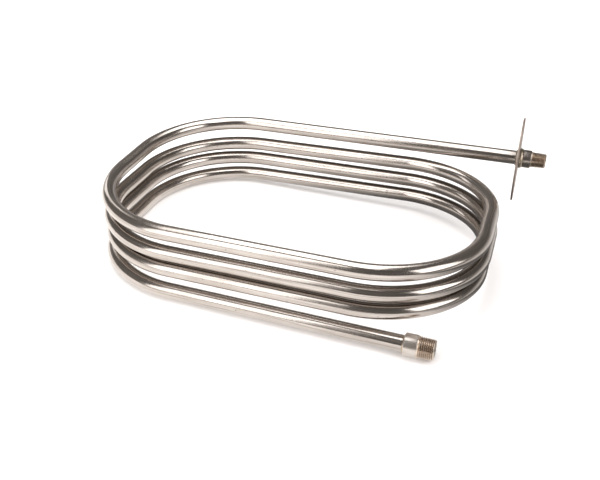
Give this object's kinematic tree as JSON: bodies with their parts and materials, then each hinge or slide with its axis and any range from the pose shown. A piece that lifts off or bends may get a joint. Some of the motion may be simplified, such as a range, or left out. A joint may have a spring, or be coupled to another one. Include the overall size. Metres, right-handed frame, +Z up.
{
  "type": "immersion cooling coil",
  "caption": "Stainless steel tube wound into a flat-sided, open coil, with a male-threaded adapter welded on each end and a round mounting plate behind the upper one.",
  "frame": {"origin": "bottom centre of the overall box, on the surface the coil lies on", "axes": "+X along the coil towards both threaded ends, +Y to the back, where the upper end and its plate are, +Z up"},
  "size_m": [0.457, 0.3314, 0.1325],
  "materials": {
    "tube_steel": "drawn and polished stainless steel tube, nearly mirror bright, with fine lines along the tube",
    "plate_steel": "rolled stainless steel sheet, satin",
    "adapter_steel": "turned stainless steel with cut threads",
    "weld_steel": "weld bead with a faint straw heat tint"
  },
  "bodies": {
    "root": {"coil_tube": "tube_steel", "mounting_plate": "plate_steel", "upper_adapter": "adapter_steel", "lower_adapter": "adapter_steel", "plate_weld_outer": "weld_steel", "plate_weld_inner": "weld_steel", "lower_adapter_weld": "weld_steel"}
  },
  "joints": []
}
